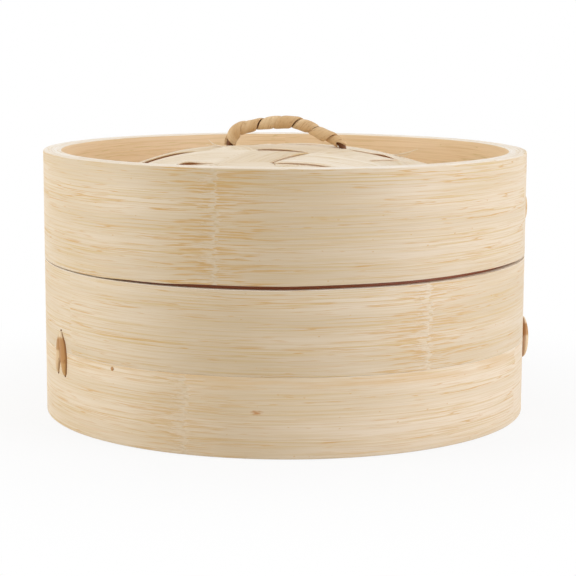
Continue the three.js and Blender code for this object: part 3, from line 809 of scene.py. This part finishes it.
HANDLE_TURN = -13
ROD_RADIUS = 1.35 * MM
ARCH_POINTS = [
    (-23.9, -1.6), (-23.2, 1.6), (-21.5, 4.3), (-18.4, 6.2), (-14.4, 7.2), (-9.7, 8.1), (-5, 8.7), (0, 9),
    (4.2, 8.7), (8.3, 7.8), (12.1, 6.2), (15.6, 4.4), (19, 2.9), (22.4, 1.5), (24.4, -0.8),
]
HOOK_BEND = 3.2
HOOK_END = 14
HOOK_HEIGHT = -8.73
WRAP_PITCH = 7.8 * MM
WRAP_THICKNESS = 1.0 * MM
WRAP_SEAM = 0.18 * MM
WRAP_START = 1.0 * MM  # along the arch from its first point
WRAP_END = 57.5 * MM
WRAP_START_TURN = 36  # degrees from the rod's underside towards the front
WRAP_ROWS_PER_TURN = 48
WRAP_LEAD = 0.6  # turns before the start, cut off flat at the foot
LAST_TURN = 5.4  # in turns from the winding's start, where it grows thinner
RAISED_TURN = 5.0  # where the edge before it stands up
RAISED_BY = 0.55 * MM
MOUTH_END = 56.4 * MM
MOUTH_CUT = 3.6 * MM
MOUTH_LEAN = 72  # degrees from the rod's underside towards the front
FOOT_START = 0.2 * MM
FOOT_CUT = 2.2 * MM
FOOT_LEAN = 100


def smooth_path(points, steps):
    """A centripetal curve through the points, as rows of places."""
    points = [np.array(point, float) for point in points]
    points = [2 * points[0] - points[1], *points, 2 * points[-1] - points[-2]]
    rows = []
    for a, b, c, d in zip(points, points[1:], points[2:], points[3:]):
        before, here, after = (math.sqrt(np.linalg.norm(q - p)) for p, q in ((a, b), (b, c), (c, d)))
        leave = ((b - a) / before - (c - a) / (before + here) + (c - b) / here) * here
        arrive = ((c - b) / here - (d - b) / (here + after) + (d - c) / after) * here
        for step in range(steps):
            t = step / steps
            cubic = (2 * t**3 - 3 * t**2 + 1) * b + (t**3 - 2 * t**2 + t) * leave
            rows.append(cubic + (3 * t**2 - 2 * t**3) * c + (t**3 - t**2) * arrive)
    return np.array([*rows, points[-2]])


class Line:
    """A smooth path through points in mm, that gives its place and direction at a distance along it."""

    def __init__(self, points, steps=24):
        self.places = smooth_path(points, steps) * MM
        lengths = np.linalg.norm(np.diff(self.places, axis=0), axis=1)
        self.runs = np.concatenate([[0], np.cumsum(lengths)])
        self.slopes = np.gradient(self.places, self.runs, axis=0)

    def at(self, run):
        place, slope = (
            np.stack([np.interp(run, self.runs, axis) for axis in values.T], -1)
            for values in (self.places, self.slopes)
        )
        return place, slope / np.linalg.norm(slope, axis=-1, keepdims=True)


def round_line(line, run, radius, angle):
    """Points round one of the handle's lines, at an angle from its underside towards the front."""
    place, slope = line.at(run)
    down = radius * np.cos(angle)
    x, z = place[..., 0] + slope[..., 1] * down, place[..., 1] - slope[..., 0] * down
    points = together(x, -radius * np.sin(angle), z)
    return turned(points, HANDLE_TURN) + np.array([0, 0, dome_height(0)])


def rod():
    hooks = []
    for foot in (ARCH_POINTS[0][0], ARCH_POINTS[-1][0]):
        inwards = -math.copysign(1, foot)
        bow = HOOK_BEND * (1 - math.sqrt(0.5))
        hooks.append([
            (foot, HOOK_HEIGHT + HOOK_BEND),
            (foot + bow * inwards, HOOK_HEIGHT + bow),
            (foot + HOOK_BEND * inwards, HOOK_HEIGHT),
            (-HOOK_END * inwards, HOOK_HEIGHT),
        ])
    line = Line(hooks[0][::-1] + ARCH_POINTS + hooks[1])
    runs = np.linspace(0, line.runs[-1], 260)[:, None]
    angles = around(16)
    wobble = 1 + 0.04 * np.sin(runs * 900 + angles * 2)
    points = round_line(line, runs, ROD_RADIUS * wobble, np.pi - angles)
    grain = together(runs, angles * ROD_RADIUS)
    core = swept(points[:, ::-1], grain[:, ::-1], materials["rod"])
    stand_for(core, "lid", "rattan", "handle_core")


def facing(angle, lean):
    """1 where an angle points to the lean, in degrees, and 0 from a quarter turn away."""
    return np.clip(np.cos(angle - math.radians(lean)), 0, 1)


def winding():
    half = (WRAP_PITCH - WRAP_SEAM) / 2
    inner = ROD_RADIUS + 0.3 * MM
    crown = np.linspace(-1, 1, 13)
    top = 0.55 + 0.45 * (1 - np.abs(crown) ** 5) + 0.12 * crown
    section = [(half * u, inner + WRAP_THICKNESS * share) for u, share in zip(crown, top)]
    section += [(half * u, inner) for u in (0.92, 0.5, 0, -0.5, -0.92)]
    runs, radii = np.array(section).T
    turns_made = (WRAP_END - WRAP_START) / WRAP_PITCH - 0.5
    rows = int((turns_made + WRAP_LEAD) * WRAP_ROWS_PER_TURN)
    turns = np.arange(rows + 1)[:, None] / WRAP_ROWS_PER_TURN - WRAP_LEAD
    angle = math.radians(WRAP_START_TURN) + 2 * np.pi * turns
    outside = radii > inner
    uneven = 0.16 * MM * np.sin(turns * 2.3 + 0.6) + 0.1 * MM * np.sin(angle * 0.5 + runs * 700)
    last = np.clip((turns - LAST_TURN) / 0.12, 0, 1)
    raised = np.exp(-(((turns - RAISED_TURN) / 0.16) ** 2)) * np.clip(runs / half, 0, 1)
    radius = radii + np.where(outside, uneven + (raised - last) * RAISED_BY, 0.3 * uneven)
    run = WRAP_START + half + WRAP_PITCH * turns + runs + 0.25 * MM * np.sin(turns * 3.7)
    run = np.minimum(run, MOUTH_END - MOUTH_CUT * facing(angle, MOUTH_LEAN) ** 2)
    run = np.maximum(run, FOOT_START + FOOT_CUT * facing(angle, FOOT_LEAN) ** 4)
    points = round_line(Line(ARCH_POINTS), run, radius, angle)
    strip_run = turns * math.hypot(2 * math.pi * (inner + WRAP_THICKNESS), WRAP_PITCH)
    wrap = swept(points, together(strip_run, runs), materials["rattan"])
    stand_for(wrap, "lid", "rattan", "handle_wrap")


# Stitches and pins on the walls. A stitch is given by its azimuth and how far its middle bulges.

STRAND_THICKNESS = 1.15 * MM
STRAND_HALF = 2 * MM  # of the strands' grain, from the middle to an edge
STITCH_TOP = UPPER_BAND[0] + 7 * MM
BASKET_STITCHES = {"basket_stitch_left": (-62.5, 0.0), "basket_stitch_right": (88, 1.5 * MM)}
LID_STITCHES = {"lid_stitch_right": (92, 0.85 * MM), "lid_stitch_back": (-140, 0.0)}

# Rows of height, left edge and right edge in mm. A basket's stitch is an upside-down V whose strands
# overlap down to its middle.
BASKET_STRANDS = {
    "pale_strand": [
        (38.2, -1.1, -0.4), (36, -2.2, -0.5), (33, -3.8, -0.4), (31, -4.4, -0.3), (29.8, -4.8, -0.2),
        (27.8, -5.4, -0.1), (26, -5.6, -1.2), (24.8, -5.4, -1.8), (22.8, -4.9, -2.5), (21.5, -4.2, -3.0),
    ],
    "strand": [
        (38.4, -0.9, 1.2), (36, -1.3, 3.2), (34.6, -1.2, 4.4), (31, -0.9, 5.5), (27.8, -0.1, 5.8),
        (25, 0.9, 5.7), (24, 1.4, 5.6), (22.2, 2.2, 5.3), (21.4, 2.6, 4.9),
    ],
}
LID_STRAND = [(89.4, -1.5, 1.5), (87.2, -1.9, 1.9), (83.5, -2, 2), (79.8, -1.9, 1.9), (77.6, -1.5, 1.5)]


def on_wall(x, radius, z, azimuth):
    """Points at distances x to the right along the wall, seen from outside."""
    angle = math.radians(azimuth) + x / BAND_OUTER
    return together(radius * np.sin(angle), -radius * np.cos(angle), z)


def strand(edges, azimuth, bulge, material):
    """A strand that lies on the wall, from rows of height, left edge and right edge. The bulge makes its
    middle stand out further. Its ends turn into the wall."""
    z, left, right = (smooth_path(edges, 6) * MM).T
    share = (z[0] - z) / (z[0] - z[-1])
    full = np.sqrt(np.clip(1 - np.abs(2 * share - 1) ** 5, 0, 1))
    thick = STRAND_THICKNESS * (0.25 + 0.75 * full) + bulge * np.clip(np.sin(np.pi * share), 0, 1) ** 0.7
    middle, half = (left + right) / 2, (right - left) / 2
    crown = np.linspace(-1, 1, 15)
    flat = np.array([0.9, 0.45, 0, -0.45, -0.9])
    places = np.concatenate([crown, flat])
    dome = np.concatenate([(1 - np.abs(crown) ** 2.4) ** 0.55, 0 * flat - 0.1])
    x = middle[:, None] + half[:, None] * places
    points = [on_wall(x, BAND_OUTER + thick[:, None] * dome, z[:, None], azimuth)]
    for row, side in ((0, 1), (-1, -1)):
        inside = middle[row] + half[row] * places * 0.6
        end = on_wall(inside, BAND_OUTER - 2 * MM + 0.3 * MM * dome, z[row] + side * 0.5 * MM, azimuth)
        points.insert(0 if row == 0 else 2, end[None])
    down = np.concatenate([[-1 * MM], z[0] - z, [z[0] - z[-1] + 1 * MM]])
    return swept(np.concatenate(points), together(down[:, None], places * STRAND_HALF), material)


def cut(obj, shape, material):
    """Takes a bmesh's shape out of the object, whose cut faces get the material."""
    mesh = bpy.data.meshes.new("cutter")
    shape.to_mesh(mesh)
    shape.free()
    mesh.materials.append(material)
    tool = placed("cutter", mesh)
    modifier = obj.modifiers.new("cut", "BOOLEAN")
    modifier.operation = "DIFFERENCE"
    modifier.solver = "EXACT"
    modifier.material_mode = "TRANSFER"
    modifier.object = tool
    with bpy.context.temp_override(object=obj, active_object=obj):
        bpy.ops.object.modifier_apply(modifier="cut")
    bpy.data.objects.remove(tool)


def stitch_hole(obj, azimuth, side, height):
    """A small round hole in a wall, for a strand's end."""
    turn = Matrix.Rotation(math.radians(azimuth), 4, "Z")
    place = turn @ Matrix.Translation((side, -BAND_OUTER, height)) @ Matrix.Rotation(math.pi / 2, 4, "X")
    size = {"radius1": 0.85 * MM, "radius2": 0.85 * MM, "depth": 5 * MM}
    shape = bmesh.new()
    bmesh.ops.create_cone(shape, cap_ends=True, segments=20, matrix=place, **size)
    # the hole's cut faces are painted dark brown with shade
    cut(obj, shape, materials["hole"])


def joined(parts):
    """Several pieces as one object."""
    with bpy.context.temp_override(active_object=parts[0], selected_editable_objects=parts):
        bpy.ops.object.join()
    return parts[0]


def stitches():
    upper, lower = (bpy.data.objects[f"basket_{band}_band_bamboo"] for band in ("upper", "lower"))
    for node, (azimuth, bulge) in BASKET_STITCHES.items():
        stitch_hole(upper, azimuth, 0.15 * MM, STITCH_TOP + 0.3 * MM)
        strands = []
        for key, edges in BASKET_STRANDS.items():
            strands.append(strand(edges, azimuth, bulge, materials[key]))
            low, left, right = edges[-1]
            stitch_hole(lower, azimuth, (left + right) / 2 * MM, low * MM)
        stand_for(joined(strands), "basket", "rattan", node)
    for node, (azimuth, bulge) in LID_STITCHES.items():
        stand_for(strand(LID_STRAND, azimuth, bulge, materials["rattan"]), "lid", "rattan", node)


PIN_RADIUS = 0.8 * MM
PIN_HEIGHT = LOWER_BAND[1] - 1.7 * MM
PINS = {"basket_pin_front": -41, "basket_pin_back": 139}
# Its rows from the inside out: how far from the wall's face, and the share of the radius
PIN_ROWS = [(-6 * MM, 1.0), (0, 1.0), (0.15 * MM, 0.92), (0.2 * MM, 0.7)]


def pins():
    angles = around(20)
    out, share = np.array(PIN_ROWS).T[..., None]
    for node, azimuth in PINS.items():
        chance = random.Random(node)
        rough = np.array([1 + chance.uniform(-0.09, 0.09) for _ in angles])
        radius = PIN_RADIUS * share * rough
        x, z = radius * np.cos(angles), PIN_HEIGHT + radius * np.sin(angles)
        points = turned(together(x, -BAND_OUTER - out, z), azimuth)
        stand_for(swept(points, together(x, z), materials["pin"]), "basket", "pin", node)


# Floor of the basket and the underside of the lid

SLAT_WIDTH = 14.6 * MM
SLAT_PITCH = 18 * MM
BOARD_BEVEL = 0.5 * MM
BEVEL_ANGLE = 50  # edges that bend more are rounded, in degrees


def board(outline, bottom, top, offset):
    """A flat board with rounded edges, from its outline, listed anticlockwise. Its grain is along X."""
    count = len(outline)
    points = [(x, y, level) for level in (bottom, top) for x, y in outline]
    faces = [tuple(reversed(range(count))), tuple(range(count, 2 * count))]
    faces += [(i, (i + 1) % count, (i + 1) % count + count, i + count) for i in range(count)]
    spots = [(x + offset, y + z) for x, y, z in points]
    grain = [[spots[corner] for corner in face] for face in faces]
    obj = mesh_piece(points, faces, grain, materials["floor"])
    bevel = obj.modifiers.new("round", "BEVEL")
    bevel.width = BOARD_BEVEL
    bevel.segments = 3
    bevel.limit_method = "ANGLE"
    bevel.angle_limit = math.radians(BEVEL_ANGLE)
    return obj


def slats():
    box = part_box("floor_slat_01")
    radius = FLOOR_RADIUS - 0.3 * MM
    for row in range(-4, 5):
        near, far = row * SLAT_PITCH - SLAT_WIDTH / 2, row * SLAT_PITCH + SLAT_WIDTH / 2
        ends = [(math.sqrt(radius**2 - y**2), y) for y in np.linspace(near, far, 9)]
        outline = ends + [(-x, y) for x, y in reversed(ends)]
        slat = board(outline, box[0].z, box[1].z, 3.1 * row + 20)
        stand_for(slat, "basket", "floor_bamboo", f"floor_slat_{outwards(row):02d}")


def crossbars():
    for number in (1, 2):
        node = f"floor_crossbar_{number}"
        low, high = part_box(node)
        outline = [(low.y, -high.x), (high.y, -high.x), (high.y, -low.x), (low.y, -low.x)]
        bar = board(outline, low.z, high.z, 7.7 * number)
        bar.data.transform(Matrix.Rotation(math.pi / 2, 4, "Z"))
        stand_for(bar, "basket", "floor_bamboo", node)


def floor_rings():
    for node, lap in FLOOR_LAPS.items():
        low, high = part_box(node)
        section = wall_section(FLOOR_RADIUS - 3.2 * MM, FLOOR_RADIUS, low.z, high.z)
        ring = hoop(section, (ROUND,) * 4, materials["floor"], lap)
        if node == "floor_support_ring":
            notch_for_bars(ring)
        stand_for(ring, "basket", "floor_bamboo", node)


def notch_for_bars(ring):
    """Cuts the ring where the crossbars pass through it."""
    for number in (1, 2):
        low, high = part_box(f"floor_crossbar_{number}")
        margin = 0.3 * MM
        size = (high.x - low.x + 2 * margin, 2 * BAND_OUTER, high.z - low.z + 2 * margin)
        place = Matrix.Translation(((low.x + high.x) / 2, 0, (low.z + high.z) / 2))
        shape = bmesh.new()
        bmesh.ops.create_cube(shape, size=1, matrix=place @ Matrix.Diagonal((*size, 1)))
        cut(ring, shape, materials["floor"])


LINING_DEPTH = 3.13 * MM
LINING_THICKNESS = 1 * MM


def seat_ring():
    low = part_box("lid_seat_ring")[0].z
    under = LINING_DEPTH + LINING_THICKNESS + RING_GAP
    outer_top = float(dome_height(HOOP_OUTER)) - under
    inner_top = float(dome_height(HOOP_INNER)) - under
    corners = [(HOOP_OUTER, low), (HOOP_OUTER, outer_top), (HOOP_INNER, inner_top), (HOOP_INNER, low)]
    seat = hoop(corners, (ROUND,) * 4, materials["inner"], SEAT_LAP)
    stand_for(seat, "lid", "inner_bamboo", "lid_seat_ring")


def lining():
    """The thin sheet under the weave, which follows the dome. Its upper side has its own dark brown
    material, painted shade for the gaps between the strips above it.
    """
    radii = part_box("lid_lining")[1].y * np.linspace(0, 1, 25)[1:]
    angles = around(96)
    points = []
    for depth in (LINING_DEPTH, LINING_DEPTH + LINING_THICKNESS):
        points.append((0, 0, float(dome_height(0.0)) - depth))
        for radius, height in zip(radii, dome_height(radii) - depth):
            points += [(radius * math.cos(a), radius * math.sin(a), height) for a in angles]
    count, side = len(angles), len(angles) * len(radii) + 1
    faces = ring_faces(side - count, 2 * side - count, count)
    for ring in range(1, side - count, count):
        faces += ring_faces(ring, ring + count, count)
        faces += [face[::-1] for face in ring_faces(side + ring, side + ring + count, count)]
    for i in range(count):
        here, after = 1 + i, 1 + (i + 1) % count
        faces += [(0, here, after), (side, side + after, side + here)]
    grain = [[(points[corner][0] + 5, points[corner][1]) for corner in face] for face in faces]
    sheet = mesh_piece(points, faces, grain, materials["lining"])
    sheet.data.materials.append(materials["under_weave"])
    for polygon in sheet.data.polygons:
        polygon.material_index = int(polygon.normal.z > 0)
    stand_for(sheet, "lid", "lining", "lid_lining")


# Camera, floor and light

IMAGE_WIDTH = 576
SENSOR_WIDTH = 36
FOCAL_PIXELS = 1797.5
CAMERA_PLACE = (1.43 * MM, -749.6 * MM, 164.1 * MM)
CAMERA_PITCH = 0.1521
CAMERA_ROLL = 0.004
STUDIO_REACH = 4.0
STUDIO_DROP = 0.2 * MM  # of the paper below the part
AMBIENT = {"Color": (1.0, 0.97, 0.925, 1), "Strength": 0.34}
PAPER = {"Base Color": (0.85, 0.85, 0.85, 1), "Roughness": 0.9, "Specular IOR Level": 0.0}
# How white the paper looks, by the distance from the part's middle
PAPER_GLOW = {"From Min": 0.09, "From Max": 0.24, "To Min": 0.86, "To Max": 1.0}
# Each lamp's place, size, power and colour
LAMPS = {
    "right_softbox": ((0.93, -0.5, 0.45), (0.7, 0.9), 7.5, (0.98, 1.0, 1.1)),
    "left_softbox": ((-1.02, -0.26, 0.45), (0.7, 0.9), 6.7, (1.0, 1.0, 1.0)),
    "top_softbox": ((0, 0.25, 1.1), (0.9, 0.9), 3.6, (1.0, 0.99, 0.97)),
}
LAMP_TARGET = (0, 0, 60 * MM)


def camera():
    data = bpy.data.cameras.new("camera")
    data.sensor_width = SENSOR_WIDTH
    data.lens = FOCAL_PIXELS / IMAGE_WIDTH * SENSOR_WIDTH
    forward = Vector((0, math.cos(CAMERA_PITCH), -math.sin(CAMERA_PITCH)))
    level = Vector((1, 0, 0))
    upright = level.cross(forward)
    right = level * math.cos(CAMERA_ROLL) + upright * math.sin(CAMERA_ROLL)
    up = upright * math.cos(CAMERA_ROLL) - level * math.sin(CAMERA_ROLL)
    axes = Matrix((right, up, -forward)).transposed().to_4x4()
    obj = placed("camera", data)
    obj.matrix_world = Matrix.Translation(CAMERA_PLACE) @ axes
    bpy.context.scene.camera = obj


def lights():
    for name, (place, size, power, colour) in LAMPS.items():
        data = bpy.data.lights.new(name, "AREA")
        data.shape = "RECTANGLE"
        data.size, data.size_y = size
        data.energy = power
        data.color = colour
        obj = placed(name, data)
        obj.location = place
        obj.rotation_euler = (Vector(LAMP_TARGET) - Vector(place)).to_track_quat("-Z", "Y").to_euler()


def white_to_viewer(tree, output, lit, white, strength=1.0):
    """Shows white where the camera sees the surface, straight or in a gloss, and the lit shader to all
    other light."""
    path = tree.add("LightPath", {}).outputs
    seen = tree.math("MAXIMUM", path["Is Camera Ray"], path["Is Glossy Ray"])
    seen = tree.times(tree.math("MAXIMUM", seen, path["Is Transmission Ray"]), strength)
    mix = tree.add("MixShader", {0: seen, 1: lit.outputs[0], 2: white.outputs[0]})
    tree.feed(tree.nodes[output], {"Surface": mix.outputs[0]})


def stage():
    world = bpy.data.worlds.new("studio")
    bpy.context.scene.world = world
    world.use_nodes = True
    tree = Nodes(world.node_tree)
    ambient = tree.nodes["Background"]
    tree.feed(ambient, AMBIENT)
    white = tree.add("Background", {"Color": (1, 1, 1, 1), "Strength": 1.0})
    white_to_viewer(tree, "World Output", ambient, white)

    paper = bpy.data.materials.new("studio_paper")
    paper.use_nodes = True
    tree = Nodes(paper.node_tree)
    matt = tree.nodes["Principled BSDF"]
    tree.feed(matt, PAPER)
    place = tree.add("TexCoord", {}).outputs["Object"]
    distance = tree.add("VectorMath", {0: place}, operation="LENGTH").outputs["Value"]
    limits = {"Value": distance, **PAPER_GLOW}
    whiter = tree.add("MapRange", limits, interpolation_type="SMOOTHSTEP").outputs[0]
    white_to_viewer(tree, "Material Output", matt, tree.add("Emission", {"Strength": 1.0}), whiter)

    mesh = bpy.data.meshes.new("studio_floor")
    corners = [(-1, -1), (1, -1), (1, 1), (-1, 1)]
    corners = [(x * STUDIO_REACH, y * STUDIO_REACH, -STUDIO_DROP) for x, y in corners]
    mesh.from_pydata(corners, [], [(0, 1, 2, 3)])
    mesh.materials.append(paper)
    floor = placed("studio_floor", mesh)


camera()
stage()
lights()
bands()
inner_rings()
weave()
rod()
winding()
stitches()
pins()
slats()
crossbars()
floor_rings()
seat_ring()
lining()

bpy.context.scene.view_settings.view_transform = "Standard"
